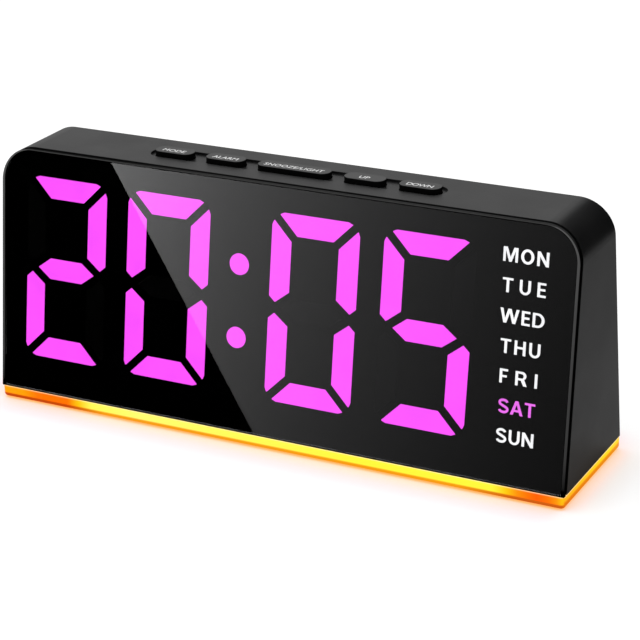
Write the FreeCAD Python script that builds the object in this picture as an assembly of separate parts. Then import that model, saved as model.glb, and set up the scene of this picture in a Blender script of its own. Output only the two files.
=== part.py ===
import FreeCAD, Part
import math
import os

# Desk alarm clock with four large seven-segment digits, a column of day names,
# five push buttons on top and a glowing light ring round its base.
#
# Frame: origin on the table under the middle of the footprint.
# +X is to the right as seen from the front, +Y points to the back, +Z is up.
# All sizes are millimetres and degrees.

V = FreeCAD.Vector
os.makedirs("parts", exist_ok=True)

# ---------------------------------------------------------------- case
top_d = 21.6           # depth of the top face
front_lean = 8.17      # the front leans back by this angle
back_lean = 6.82       # the back leans forward by this angle
corner_r = 9.3         # rounding between the top and the sides
back_edge_r = 0.5      # rounding of the back outline
case_wall = 2.2        # wall of the rear housing
fit_gap = 0.15         # clearance round a piece that is dropped into another
thread_gap = 0.05      # radial clearance of a screw in its own hole
reach = 400.0          # length of cutting blocks, past every face
past = 1.0             # cutters run past a face by this much

# ---------------------------------------------------------------- front frame and lens
lip_w = 0.8            # width of the lip that shows beside the lens
lip_top_w = 0.35       # the lip is narrower over the lens
lip_d = 1.15           # depth of the lip, from its face to the groove
lip_edge_r = 0.2       # softened outer edge of the lip
sill_h = 0.25          # low sill of the frame under the lens
groove_w = 0.7         # shadow groove between frame and housing
groove_deep = 0.45     # how far the groove is cut in
lens_t = 0.6           # lens sheet
lens_sunk = 0.1        # lens face behind the face of the lip
lens_foot = 0.05       # clearance between lens and sill
lens_head = 0.25       # clearance over the lens
skirt_t = 1.2          # wall of the frame's skirt inside the housing
skirt_end = 8.0        # the skirt ends this far behind the front face
clip_w = 8.0           # snap clips on the skirt
clip_proud = 0.5
clip_len = 1.2
clip_from_front = 5.6  # middle of a clip behind the front face
clip_top_x = [-48.0, 0.0, 48.0]
clip_side_up = 34.0    # height of the side clips above the case foot

# ---------------------------------------------------------------- display
film_gap = 0.05        # air between lens and film
film_t = 0.15          # printed film with a window for each segment
mask_d = 5.35          # depth of the black light mask behind the film
bar_t = 2.0            # light bars that fill the windows
bar_gap = 0.05         # clearance round a light bar
bar_edge_r = 0.15      # rounded corners of the light bars
digit_w = 24.7
digit_h = 49.8
digit_slant = 0.0167   # sideways lean of the digits, as a slope
bar_w = 5.65           # width of a segment
split_w = 1.6          # an outer segment starts this far from the corner of its digit
blunt_l = 1.75         # its sharp end is cut off from here along the outer edge
blunt_w = 0.5          # to here in from it
side_tip = 1.45        # inner tip of a side segment, from the middle of the digit
side_tip_in = 1.7      # the same tip, in from the side of the digit
side_outer = 2.95      # where its outer edge ends, from the middle of the digit
side_inner = 4.5       # where its inner edge ends
middle_tip = 3.65      # tip of the middle segment, in from the side of the digit
middle_edge = 7.45     # its edges end this far in
lit_bars = ["abged", "abcdef", "abcdef", "afgcd"]
side_room = 7.5        # case side to the first digit
digit_gap = 6.7        # between the digits of a pair
colon_room = 18.1      # between the two pairs
foot_room = 10.05      # case foot to the foot of the digits, along the front
head_room = 7.05       # top of the digits to the top of the front
colon_r = 2.8
colon_rise = 9.75      # dots above and below the middle of the digits
day_gap = 7.1          # last digit to the day column
day_w = 13.0
day_h = 4.7
day_side_room = 7.5    # day column to the other case side
day_foot = 2.7         # middle of the lowest name above the foot of the digits
day_head = 1.7         # middle of the highest name below the top of the digits
day_count = 7
day_lit = 1            # the lit day, counted from the lowest name
lug_r = 2.2            # frame lugs that carry the display board
lug_up = 3.0           # middle of a lower lug above the skirt
lug_down = 2.0         # middle of an upper lug below the skirt
board_t = 1.6
led_l = 2.0
led_w = 1.25
led_h = 0.8

# ---------------------------------------------------------------- screws
lug_screw_r = 0.75
lug_screw_l = 5.2
lug_head_r = 1.5
lug_head_h = 1.0
base_screw_r = 1.2
base_screw_l = 6.6
base_head_r = 2.4
base_head_h = 1.2
slot_w = 0.5           # cross recess in a screw head
slot_deep = 0.5
slot_share = 0.6       # reach of the recess, as a share of the head

# ---------------------------------------------------------------- base and light ring
foot_gap = 0.35        # light ring above the table
foot_r = 4.5
foot_sunk = 0.25       # feet sit in shallow pockets
foot_edge_r = 0.25
foot_side = 12.0       # middle of a foot from the side of the case
foot_front = 9.5       # middle of a foot from the front edge
ring_h = 3.4           # height of the light ring
ring_w = 5.0           # width of its top face
ring_step = 1.8        # the ring overhangs the base plate by this much
ring_edge_r = 0.9      # rounded lower edge
ring_corner_r = 1.2    # rounded corners in plan
base_t = 1.0           # base plate flange
base_boss_r = 3.4
base_screw_side = 25.5   # base screws from the side of the case
base_screw_front = 13.0  # base screws from the front edge
floor_boss_r = 3.0
floor_boss_h = 4.6
light_board_t = 0.8
light_board_w = 5.0
light_led_l = 3.0
light_led_d = 1.6
light_led_h = 0.8
light_led_pitch = 24.0
reflector_t = 0.2

# ---------------------------------------------------------------- buttons
channel_rim = 1.3      # recess in the top round the row of buttons
channel_deep = 0.6
channel_back = 0.45    # middle of the channel behind the middle of the top
cap_w = 4.8
cap_l = 11.25
snooze_l = 20.75
cap_room = 4.1         # between two buttons
channel_end = 1.4      # last button to the end of the channel
cap_end_r = 2.3        # rounded ends of a cap
cap_proud = 1.05       # cap above the top of the case
cap_edge_r = 0.18
cap_gap = 0.15         # clearance round a cap in its hole
flange_w = 0.7         # flange that keeps a cap in
flange_t = 0.8
stop_gap = 0.05        # flange under the case top at rest
stem_r = 1.6
stem_l = 1.0
press_travel = 0.4
plunger_r = 1.7
plunger_h = 1.0
plunger_in = 0.8       # plunger inside the switch
switch_w = 6.0
switch_h = 3.5
switch_lid_t = 0.3
button_board_t = 1.2
button_board_gap = 0.6   # button board to the display board and to the back
button_boss_r = 2.0

# ---------------------------------------------------------------- back of the case
cell_r = 10.0
cell_t = 3.2
cell_edge_r = 0.4
cell_gap = 0.2
door_w = 34.0
door_h = 25.0
door_t = 1.6
door_gap = 0.2
door_corner_r = 2.5
door_x = -40.0         # middle of the battery door
door_up = 34.0         # height of its middle along the back
door_ledge = 1.4
door_land = 1.4        # material under the edge of the door
door_screw_in = 4.0    # screw, from the edge of the door
door_screw_r = 0.95
door_screw_l = 5.6
door_head_r = 1.9
door_head_h = 1.0
door_notch_r = 4.0
cell_in = 2.5          # cell, from the other edge of the door
cup_wall = 1.6
cup_floor = 1.2
spring_room = 0.9      # space for the contact under the cell
contact_t = 0.2
contact_w = 4.0
leaf_l = 12.0          # leaf under the cell, and the blade bent up from it
blade_l = 4.0
blade_foot = 1.0
contact_room = 1.0     # pocket beside the cell for its side contact
contact_out = 0.8      # side contact from the rim of the cell
inlet_x = 45.0
inlet_up = 14.0
inlet_w = 8.94
inlet_h = 3.2
inlet_d = 7.3
inlet_wall = 0.3
inlet_gap = 0.2
tongue_w = 6.7
tongue_t = 0.7
tongue_back = 1.6      # tongue behind the mouth
core_t = 1.5
plug_room_w = 13.0     # shallow recess for a plug's moulding
plug_room_h = 7.6
plug_room_deep = 1.0
plug_room_r = 2.5
inlet_board_w = 16.0
inlet_board_d = 12.0
inlet_board_t = 1.2
shelf_t = 1.4
shelf_short = 2.4      # shelf ends before the edge of its board
buzzer_x = 2.0
buzzer_up = 36.0
buzzer_r = 6.0
buzzer_h = 5.5
buzzer_ring_t = 1.2
buzzer_ring_h = 3.0
vent_r = 0.7
vent_pitch = 2.6
vent_count = 6

# ---------------------------------------------------------------- parts on the display board
chip_w = 10.0
chip_h = 1.6
chip_at = (12.0, 30.0)
driver_l = 12.0
driver_w = 6.0
driver_h = 1.7
driver_at = [(-50.0, 22.0), (52.0, 40.0)]
crystal_r = 1.5
crystal_l = 8.0
crystal_at = (26.0, 30.0)
can_r = 3.1
can_h = 7.0
can_at = [(36.0, 20.0), (36.0, 28.0)]
socket_l = 8.0
socket_w = 4.0
socket_h = 5.0
button_socket_at = (-24.0, 44.0)
light_socket_at = (-24.0, 16.0)
power_socket_at = (45.0, 13.0)
cable_w = 6.0
cable_t = 0.8
cable_out = 3.0        # straight run of a flat cable out of its socket
cable_turn = 1.5       # depth of its bend
cable_slot_gap = 1.0   # floor slot round the cable to the light board
cable_slot_d = 4.0
lead_r = 0.6
lead_spread = 2.5

# ---------------------------------------------------------------- derived heights and planes
front_rad = math.radians(front_lean)
back_rad = math.radians(back_lean)
front_len = foot_room + digit_h + head_room
case_h = front_len * math.cos(front_rad)
base_d = top_d + case_h * (math.tan(front_rad) + math.tan(back_rad))
case_w = side_room + 4 * digit_w + 2 * digit_gap + colon_room + day_gap + day_w + day_side_room
case_foot = foot_gap + ring_h
case_top = case_foot + case_h
digit_low = foot_room
first_left = side_room - case_w / 2
second_left = first_left + digit_w + digit_gap
third_left = second_left + digit_w + colon_room
fourth_left = third_left + digit_w + digit_gap
digit_left = [first_left, second_left, third_left, fourth_left]
colon_x = third_left - colon_room / 2
colon_up = [digit_low + digit_h / 2 - colon_rise, digit_low + digit_h / 2 + colon_rise]
colon_at = [(colon_x + digit_slant * (up - digit_low), up) for up in colon_up]
day_x = case_w / 2 - day_side_room - day_w / 2
day_low = digit_low + day_foot
day_pitch = (digit_h - day_foot - day_head) / (day_count - 1)
housing_from = lip_d + groove_w
lens_back = lens_sunk + lens_t
film_front = lens_back + film_gap
mask_front = film_front + film_t
board_front = mask_front + mask_d
board_back = board_front + board_t
skirt_out = case_wall + fit_gap
skirt_in = skirt_out + skirt_t
display_in = skirt_in + fit_gap
lug_x = [
    second_left - digit_gap / 2 + digit_slant * digit_h / 2,
    second_left + digit_w + lug_r + digit_slant * digit_h + fit_gap,
    fourth_left - digit_gap / 2 + digit_slant * digit_h / 2,
    fourth_left + digit_w + day_gap / 2 + digit_slant * digit_h / 2,
]
lug_low = skirt_in + lug_up
lug_high = front_len - skirt_in - lug_down
flange_top = case_top - case_wall - stop_gap
stem_foot = flange_top - flange_t - stem_l
switch_top = stem_foot - plunger_h
button_board_top = switch_top - switch_h
cap_inner_x = snooze_l / 2 + cap_room + cap_l / 2
cap_outer_x = cap_inner_x + cap_l + cap_room
button_x = [-cap_outer_x, -cap_inner_x, 0.0, cap_inner_x, cap_outer_x]
button_l = [cap_l, cap_l, snooze_l, cap_l, cap_l]
channel_l = 2 * (cap_outer_x + cap_l / 2 + channel_end)
channel_w = cap_w + 2 * channel_rim
button_name = ["mode", "alarm", "snooze", "up", "down"]
base_screw_from = foot_gap + base_head_h + fit_gap
door_screw_x = door_w / 2 - door_screw_in
cell_x = cell_in + cell_r - door_w / 2
cell_top = door_t + fit_gap
cup_bottom = cell_top + cell_t + spring_room


# ---------------------------------------------------------------- helpers
def save(node, solids):
    """Write one node, as a single solid or a group of separate solids."""
    shapes = solids if isinstance(solids, list) else [solids]
    bodies = []
    for shape in shapes:
        bodies.extend(shape.Solids)
    out = bodies[0] if len(bodies) == 1 else Part.makeCompound(bodies)
    out.exportStep("parts/" + node + ".step")


def box(x0, x1, y0, y1, z0, z1):
    return Part.makeBox(x1 - x0, y1 - y0, z1 - z0, V(x0, y0, z0))


def rod(x, y, z, radius, length, axis):
    return Part.makeCylinder(radius, length, V(x, y, z), axis)


def fuse(shapes):
    return shapes[0].multiFuse(shapes[1:]).removeSplitter()


def edges_where(shape, test):
    """Edges whose end points all pass a test."""
    return [e for e in shape.Edges if all(test(v.Point) for v in e.Vertexes)]


def outline_prism(points, along):
    """Straight-sided prism over a closed list of points."""
    face = Part.Face(Part.makePolygon(points + [points[0]]))
    return face.extrude(along)


def y_front(z, depth):
    return -base_d / 2 + (z - case_foot) * math.tan(front_rad) + depth / math.cos(front_rad)


def y_back(z, depth):
    return base_d / 2 - (z - case_foot) * math.tan(back_rad) - depth / math.cos(back_rad)


channel_y = (y_front(case_top, 0) + y_back(case_top, 0)) / 2 + channel_back
button_board_front = y_front(button_board_top, board_back) + button_board_gap
button_board_back = y_back(case_top, case_wall) - button_board_gap / 4
button_boss_x = cap_outer_x + cap_l / 2 + flange_w + button_boss_r + 2 * fit_gap
button_board_l = 2 * (button_boss_x + button_boss_r)


def arch(inset, low, lift=0.0):
    """The case outline seen from the front, drawn in by a margin, as a bar along Y.

    Its foot is raised by `low`, and its top is raised back by `lift`."""
    half = case_w / 2 - inset
    foot = case_foot + low
    top = case_top - inset + lift
    mid = V(case_w / 2 - corner_r, 0, case_top - corner_r + lift)
    r = corner_r - inset
    slant = r * math.sqrt(0.5)
    left = Part.Arc(V(-half, 0, mid.z), V(-mid.x - slant, 0, mid.z + slant), V(-mid.x, 0, top))
    right = Part.Arc(V(mid.x, 0, top), V(mid.x + slant, 0, mid.z + slant), V(half, 0, mid.z))
    edges = [
        Part.makeLine(V(-half, 0, foot), V(-half, 0, mid.z)),
        left.toShape(),
        Part.makeLine(V(-mid.x, 0, top), V(mid.x, 0, top)),
        right.toShape(),
        Part.makeLine(V(half, 0, mid.z), V(half, 0, foot)),
        Part.makeLine(V(half, 0, foot), V(-half, 0, foot)),
    ]
    bar = Part.Face(Part.Wire(edges)).extrude(V(0, reach, 0))
    bar.translate(V(0, -reach / 2, 0))
    return bar


def between(front_in, back_in):
    """Room between the leaning front and back planes, each moved in by a depth."""
    low = case_foot - base_d
    high = case_top + base_d
    section = [
        V(-reach / 2, y_front(low, front_in), low),
        V(-reach / 2, y_back(low, back_in), low),
        V(-reach / 2, y_back(high, back_in), high),
        V(-reach / 2, y_front(high, front_in), high),
    ]
    return outline_prism(section, V(reach, 0, 0))


def front_slab(near, far):
    """Everything between two depths behind the leaning front face."""
    slab = box(-reach / 2, reach / 2, near, far, -base_d, case_h + base_d)
    return on_front(slab)


def on_front(shape):
    """Carry a shape from (x, depth, height up the front) to the leaning front."""
    placed = shape.copy()
    placed.rotate(V(0, 0, 0), V(1, 0, 0), -front_lean)
    placed.translate(V(0, -base_d / 2, case_foot))
    return placed


def on_back(shape):
    """Carry a shape from (x, minus depth, height up the back) to the leaning back."""
    placed = shape.copy()
    placed.rotate(V(0, 0, 0), V(1, 0, 0), back_lean)
    placed.translate(V(0, base_d / 2, case_foot))
    return placed


def stadium(x, y, length, width, z0, z1):
    """Upright plate with fully rounded ends, longer along X."""
    r = width / 2
    middle = box(x - length / 2 + r, x + length / 2 - r, y - r, y + r, z0, z1)
    left = rod(x - length / 2 + r, y, z0, r, z1 - z0, V(0, 0, 1))
    right = rod(x + length / 2 - r, y, z0, r, z1 - z0, V(0, 0, 1))
    return fuse([middle, left, right])


def pad(x, y, length, width, z0, z1, r):
    """Upright plate with rounded corners."""
    plate = box(x - length / 2, x + length / 2, y - width / 2, y + width / 2, z0, z1)
    upright = [e for e in plate.Edges if abs(e.Vertexes[0].Z - e.Vertexes[1].Z) > (z1 - z0) / 2]
    return plate.makeFillet(r, upright)


def laid_on_back(plate):
    """Turn an upright plate so that its Z becomes the depth into the back."""
    turned = plate.copy()
    turned.rotate(V(0, 0, 0), V(1, 0, 0), 90)
    return on_back(turned)


def screw(shank_r, shank_l, head_r, head_h):
    """Pan-head screw along Z: the shank runs up from 0, the head hangs below."""
    body = fuse([rod(0, 0, -head_h, head_r, head_h, V(0, 0, 1)), rod(0, 0, 0, shank_r, shank_l, V(0, 0, 1))])
    arm = head_r * slot_share
    floor = -head_h + slot_deep
    body = body.cut(box(-arm, arm, -slot_w / 2, slot_w / 2, -head_h, floor))
    return body.cut(box(-slot_w / 2, slot_w / 2, -arm, arm, -head_h, floor))


def strap(points, x, width, thick):
    """Flat cable of even thickness along a path of (y, z) points."""
    left = []
    right = []
    for i, (y, z) in enumerate(points):
        before = points[max(i - 1, 0)]
        after = points[min(i + 1, len(points) - 1)]
        a = V(0, y - before[0], z - before[1])
        b = V(0, after[0] - y, after[1] - z)
        a = b if a.Length == 0 else a
        b = a if b.Length == 0 else b
        a.normalize()
        b.normalize()
        side = V(0, -(a.z + b.z), a.y + b.y)
        side.normalize()
        grow = thick / 2 / abs(side.dot(V(0, -a.z, a.y)))
        left.append(V(x, y, z) + side * grow)
        right.append(V(x, y, z) - side * grow)
    return outline_prism(left + right[::-1], V(width, 0, 0))


# ---------------------------------------------------------------- display segments
def segment_points(name):
    """Corners of one segment in a digit whose lower left corner is at (0, 0)."""
    w = digit_w
    h = digit_h
    mid = h / 2
    g = split_w
    if name == "a":
        return [
            (g + blunt_l, h),
            (w - g - blunt_l, h),
            (w - g - blunt_w, h - blunt_w),
            (w - g - bar_w, h - bar_w),
            (g + bar_w, h - bar_w),
            (g + blunt_w, h - blunt_w),
        ]
    if name == "f":
        return [
            (0, h - g - blunt_l),
            (blunt_w, h - g - blunt_w),
            (bar_w, h - g - bar_w),
            (bar_w, mid + side_inner),
            (side_tip_in, mid + side_tip),
            (0, mid + side_outer),
        ]
    if name == "g":
        half = bar_w / 2
        return [
            (middle_tip, mid),
            (middle_edge, mid + half),
            (w - middle_edge, mid + half),
            (w - middle_tip, mid),
            (w - middle_edge, mid - half),
            (middle_edge, mid - half),
        ]
    if name in "de":
        above = {"d": "a", "e": "f"}[name]
        return [(x, h - y) for x, y in segment_points(above)]
    beside = {"b": "f", "c": "e"}[name]
    return [(w - x, y) for x, y in segment_points(beside)]


def grown(points, grow):
    """Closed outline with every side moved out by a margin."""
    count = len(points)
    turn = sum(points[i - 1][0] * points[i][1] - points[i][0] * points[i - 1][1] for i in range(count))
    out = []
    for i in range(count):
        x, y = points[i]
        before = V(x - points[i - 1][0], y - points[i - 1][1], 0).normalize()
        after = V(points[(i + 1) % count][0] - x, points[(i + 1) % count][1] - y, 0).normalize()
        side = V(before.y + after.y, -before.x - after.x, 0).normalize()
        move = math.copysign(grow, turn) / side.dot(V(before.y, -before.x, 0))
        out.append((x + side.x * move, y + side.y * move))
    return out


def segment(digit, name, near, far, grow):
    """One light bar, or the hole for it, between two depths behind the front face."""
    corners = grown(segment_points(name), grow)
    corners = [V(digit_left[digit] + x + y * digit_slant, near, digit_low + y) for x, y in corners]
    bar = outline_prism(corners, V(0, far - near, 0))
    if grow > 0:
        return bar
    along = [e for e in bar.Edges if abs(e.Vertexes[0].Y - e.Vertexes[1].Y) > (far - near) / 2]
    return bar.makeFillet(bar_edge_r, along)


def digit_bars(digit, lit, near, far, grow):
    names = [n for n in "abcdefg" if (n in lit_bars[digit]) == lit]
    return [segment(digit, n, near, far, grow) for n in names]


def colon_bars(near, far, grow):
    return [rod(x, near, s, colon_r + grow, far - near, V(0, 1, 0)) for x, s in colon_at]


def day_bar(row, near, far, grow):
    mid = day_low + row * day_pitch
    half_w = day_w / 2 + grow
    half_h = day_h / 2 + grow
    return box(day_x - half_w, day_x + half_w, near, far, mid - half_h, mid + half_h)


def lugs(radius, near, far):
    """Round posts of the frame that stand between the digits."""
    return [rod(x, near, s, radius, far - near, V(0, 1, 0)) for x in lug_x for s in (lug_low, lug_high)]


def windows(near, far, grow):
    """All segment and colon windows, as one cutter."""
    shapes = []
    for digit in range(len(digit_left)):
        shapes += digit_bars(digit, True, near, far, grow)
        shapes += digit_bars(digit, False, near, far, grow)
    return shapes + colon_bars(near, far, grow)


# ---------------------------------------------------------------- front of the case
def clip_blocks(grow):
    """Snap clips on the skirt, or the pockets for them when grown."""
    near = clip_from_front - clip_len / 2 - grow
    far = clip_from_front + clip_len / 2 + grow
    wide = clip_w / 2 + grow
    band = arch(skirt_out - clip_proud - grow, 0).cut(arch(skirt_out + skirt_t / 2, 0))
    band = band.common(front_slab(near, far))
    half = case_w / 2
    mid = case_foot + clip_side_up
    zones = [box(x - wide, x + wide, -base_d, base_d, case_top - corner_r, case_top) for x in clip_top_x]
    zones.append(box(-half, -half + corner_r, -base_d, base_d, mid - wide, mid + wide))
    zones.append(box(half - corner_r, half, -base_d, base_d, mid - wide, mid + wide))
    return [band.common(zone) for zone in zones]


def make_front_frame():
    """Lip round the lens, neck behind the groove, skirt inside the housing, and board posts."""
    lip = arch(0, 0).common(front_slab(0, lip_d))
    neck = arch(groove_deep, 0).common(front_slab(lip_d, housing_from))
    skirt = arch(skirt_out, skirt_out).common(front_slab(housing_from, skirt_end))
    pocket = arch(lip_w, sill_h, lip_w - lip_top_w).common(front_slab(-past, mask_front))
    frame = fuse([lip, neck, skirt]).cut(pocket).cut(arch(skirt_in, skirt_in))
    posts = [on_front(p) for p in lugs(lug_r, mask_front, board_front)]
    posts = [p.common(arch(skirt_out, skirt_out)) for p in posts]
    frame = fuse([frame] + posts + clip_blocks(0))
    bottom = board_back - lug_screw_l - fit_gap
    drill = [on_front(p) for p in lugs(lug_screw_r + thread_gap, bottom, board_front)]
    frame = frame.cut(Part.makeCompound(drill))
    rim = edges_where(frame, lambda p: abs(p.y - y_front(p.z, 0)) < 1e-4)
    outer = [e for e in rim if on_outline(e)]
    return frame.makeFillet(lip_edge_r, outer)


def on_outline(edge):
    """True for an edge of the outer outline, except the foot."""
    mid = edge.valueAt((edge.FirstParameter + edge.LastParameter) / 2)
    at_side = abs(abs(mid.x) - case_w / 2) < 1e-4
    at_top = abs(mid.z - case_top) < 1e-4
    dx = abs(mid.x) - (case_w / 2 - corner_r)
    dz = mid.z - (case_top - corner_r)
    at_corner = dx > 0 and dz > 0 and abs(math.hypot(dx, dz) - corner_r) < 1e-3
    return at_side or at_top or at_corner


def lens_sheet(near, far):
    """A sheet that fills the pocket of the frame, with clearance, between two depths."""
    inset = lip_w + fit_gap
    return arch(inset, sill_h + lens_foot, inset - lip_top_w - lens_head).common(front_slab(near, far))


def make_lens():
    return lens_sheet(lens_sunk, lens_back)


def make_film():
    holes = windows(film_front, mask_front, bar_gap)
    return lens_sheet(film_front, mask_front).cut(Part.makeCompound([on_front(h) for h in holes]))


def make_mask():
    block = arch(display_in, display_in).common(front_slab(mask_front, board_front))
    holes = windows(mask_front, board_front, bar_gap)
    holes += [day_bar(row, mask_front, board_front, bar_gap) for row in range(day_count)]
    holes += lugs(lug_r + fit_gap, mask_front, board_front)
    return block.cut(Part.makeCompound([on_front(h) for h in holes]))


def make_display_board():
    board = arch(display_in, display_in).common(front_slab(board_front, board_back))
    holes = lugs(lug_screw_r + fit_gap, board_front, board_back)
    return board.cut(Part.makeCompound([on_front(h) for h in holes]))


def display_screws():
    group = []
    for x in lug_x:
        for s in (lug_low, lug_high):
            one = screw(lug_screw_r, lug_screw_l, lug_head_r, lug_head_h)
            one.rotate(V(0, 0, 0), V(1, 0, 0), 90)
            one.translate(V(x, board_back, s))
            group.append(on_front(one))
    return group


def led_centres():
    """Places of the lamps, two behind each segment and day name, one behind each dot."""
    spots = []
    for digit in range(len(digit_left)):
        for name in "abcdefg":
            bar = segment(digit, name, 0, bar_t, bar_gap)
            size = bar.BoundBox
            mid = bar.CenterOfMass
            flat = size.XLength > size.ZLength
            step = (size.XLength if flat else size.ZLength) / 5
            spots.append((mid.x - step * flat, mid.z - step * (not flat)))
            spots.append((mid.x + step * flat, mid.z + step * (not flat)))
    for row in range(day_count):
        spots.append((day_x - day_w / 4, day_low + row * day_pitch))
        spots.append((day_x + day_w / 4, day_low + row * day_pitch))
    return spots + colon_at


def display_leds():
    group = []
    half_l = led_l / 2
    half_w = led_w / 2
    for x, s in led_centres():
        lamp = box(x - half_l, x + half_l, board_front - led_h, board_front, s - half_w, s + half_w)
        group.append(on_front(lamp))
    return group


# ---------------------------------------------------------------- rear housing
def cap_outline(i, grow, z0, z1):
    """Plate in the shape of a button cap, grown by a margin."""
    return pad(
        button_x[i], channel_y, button_l[i] + 2 * grow, cap_w + 2 * grow, z0, z1, cap_end_r + grow
    )


def door_plate(grow, near, far):
    plate = pad(door_x, door_up, door_w + 2 * grow, door_h + 2 * grow, near, far, door_corner_r + grow)
    return laid_on_back(plate)


def back_rod(x, up, r, near, far):
    """Round bar along the depth of the back."""
    return laid_on_back(rod(x, up, near, r, far - near, V(0, 0, 1)))


def back_box(x0, x1, up0, up1, near, far):
    return laid_on_back(box(x0, x1, up0, up1, near, far))


def battery_bay():
    """Material behind the battery door: ledge, cup for the cell and screw post."""
    near = case_wall / 2
    screw_x = door_x + door_screw_x
    ledge = door_plate(door_gap + door_ledge, near, door_t + door_land)
    cup = back_rod(door_x + cell_x, door_up, cell_r + cell_gap + cup_wall, near, cup_bottom + cup_floor)
    post = back_rod(screw_x, door_up, door_head_r + cup_wall, near, door_t + door_screw_l + cup_floor)
    return [ledge, cup, post]


def battery_cuts():
    near = door_t / 2
    screw_x = door_x + door_screw_x
    rim = door_x + cell_x - cell_r
    left = rim - contact_room
    right = rim + contact_room
    half = contact_w / 2 + fit_gap
    mouth = door_plate(door_gap, -past, door_t)
    cell = back_rod(door_x + cell_x, door_up, cell_r + cell_gap, near, cup_bottom)
    thread = back_rod(screw_x, door_up, door_screw_r + fit_gap, near, door_t + door_screw_l)
    pocket = back_box(left, right, door_up - half, door_up + half, near, cup_bottom)
    return [mouth, cell, thread, pocket]


def inlet_bay():
    shelf_top = inlet_up - inlet_h / 2 - inlet_board_t
    half = inlet_board_w / 2
    far = case_wall + inlet_board_d - shelf_short
    return [back_box(inlet_x - half, inlet_x + half, shelf_top - shelf_t, shelf_top, case_wall / 2, far)]


def inlet_cuts():
    room = pad(inlet_x, inlet_up, plug_room_w, plug_room_h, -past, plug_room_deep, plug_room_r)
    mouth = stadium(inlet_x, inlet_up, inlet_w + 2 * inlet_gap, inlet_h + 2 * inlet_gap, 0, case_wall + past)
    return [laid_on_back(room), laid_on_back(mouth)]


def buzzer_bay():
    inner = buzzer_r + fit_gap
    far = case_wall + buzzer_ring_h
    ring = back_rod(buzzer_x, buzzer_up, inner + buzzer_ring_t, case_wall / 2, far)
    return ring.cut(back_rod(buzzer_x, buzzer_up, inner, case_wall, far))


def buzzer_vents():
    holes = [back_rod(buzzer_x, buzzer_up, vent_r, -past, case_wall + past)]
    for i in range(vent_count):
        turn = 2 * math.pi * i / vent_count
        x = buzzer_x + vent_pitch * math.cos(turn)
        up = buzzer_up + vent_pitch * math.sin(turn)
        holes.append(back_rod(x, up, vent_r, -past, case_wall + past))
    return holes


def make_housing():
    shell = arch(0, 0).common(between(housing_from, 0))
    rim = [e for e in edges_where(shell, lambda p: abs(p.y - y_back(p.z, 0)) < 1e-4) if on_outline(e)]
    shell = shell.makeFillet(back_edge_r, rim)
    shell = shell.cut(arch(case_wall, case_wall).common(between(0, case_wall)))
    bosses = []
    for x, y in base_screw_spots():
        bosses.append(rod(x, y, case_foot + case_wall / 2, floor_boss_r, floor_boss_h, V(0, 0, 1)))
    for x in (-button_boss_x, button_boss_x):
        low = button_board_top
        bosses.append(rod(x, channel_y, low, button_boss_r, case_top - case_wall - low, V(0, 0, 1)))
    shell = fuse([shell] + bosses + battery_bay() + inlet_bay() + [buzzer_bay()])
    cuts = clip_blocks(fit_gap) + battery_cuts() + inlet_cuts() + buzzer_vents()
    cuts.append(stadium(0, channel_y, channel_l, channel_w, case_top - channel_deep, case_top + past))
    for i in range(len(button_x)):
        cuts.append(cap_outline(i, cap_gap, case_top - case_wall - past, case_top))
    screw_end = base_screw_from + base_screw_l + fit_gap
    for x, y in base_screw_spots():
        cuts.append(rod(x, y, 0, base_screw_r + thread_gap, screw_end, V(0, 0, 1)))
    for x in (-button_boss_x, button_boss_x):
        cuts.append(rod(x, channel_y, button_board_top, lug_screw_r + thread_gap, lug_screw_l, V(0, 0, 1)))
    slot_x = light_socket_at[0]
    slot_half = cable_w / 2 + cable_slot_gap
    slot_front = light_cable_y() - cable_slot_d / 2
    slot_back = slot_front + cable_slot_d
    slot_top = case_foot + case_wall + fit_gap
    cuts.append(box(slot_x - slot_half, slot_x + slot_half, slot_front, slot_back, foot_gap, slot_top))
    return shell.cut(Part.makeCompound(cuts))


# ---------------------------------------------------------------- buttons
def make_cap(i):
    low = flange_top
    high = case_top + cap_proud
    cap = cap_outline(i, 0, low, high)
    rim = edges_where(cap, lambda p: abs(p.z - high) < 1e-6)
    cap = cap.makeFillet(cap_edge_r, rim)
    flange = cap_outline(i, flange_w, low - flange_t, low)
    stem = rod(button_x[i], channel_y, stem_foot, stem_r, stem_l, V(0, 0, 1))
    return fuse([cap, flange, stem])


def make_plunger(i):
    return rod(button_x[i], channel_y, switch_top - plunger_in, plunger_r, plunger_h + plunger_in, V(0, 0, 1))


def switch_bodies():
    group = []
    half = switch_w / 2
    top = switch_top - switch_lid_t
    well_floor = switch_top - plunger_in - press_travel - fit_gap
    for x in button_x:
        body = box(x - half, x + half, channel_y - half, channel_y + half, button_board_top, top)
        well = rod(x, channel_y, well_floor, plunger_r + fit_gap, switch_h, V(0, 0, 1))
        group.append(body.cut(well))
    return group


def switch_lids():
    group = []
    half = switch_w / 2
    low = switch_top - switch_lid_t
    for x in button_x:
        lid = box(x - half, x + half, channel_y - half, channel_y + half, low, switch_top)
        group.append(lid.cut(rod(x, channel_y, low, plunger_r + fit_gap, switch_lid_t, V(0, 0, 1))))
    return group


def make_button_board():
    half = button_board_l / 2
    low = button_board_top - button_board_t
    board = box(-half, half, button_board_front, button_board_back, low, button_board_top)
    for x in (-button_boss_x, button_boss_x):
        board = board.cut(rod(x, channel_y, low, lug_screw_r + fit_gap, button_board_t, V(0, 0, 1)))
    return board


def button_board_screws():
    group = []
    for x in (-button_boss_x, button_boss_x):
        one = screw(lug_screw_r, lug_screw_l, lug_head_r, lug_head_h)
        one.translate(V(x, channel_y, button_board_top - button_board_t))
        group.append(one)
    return group


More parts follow.
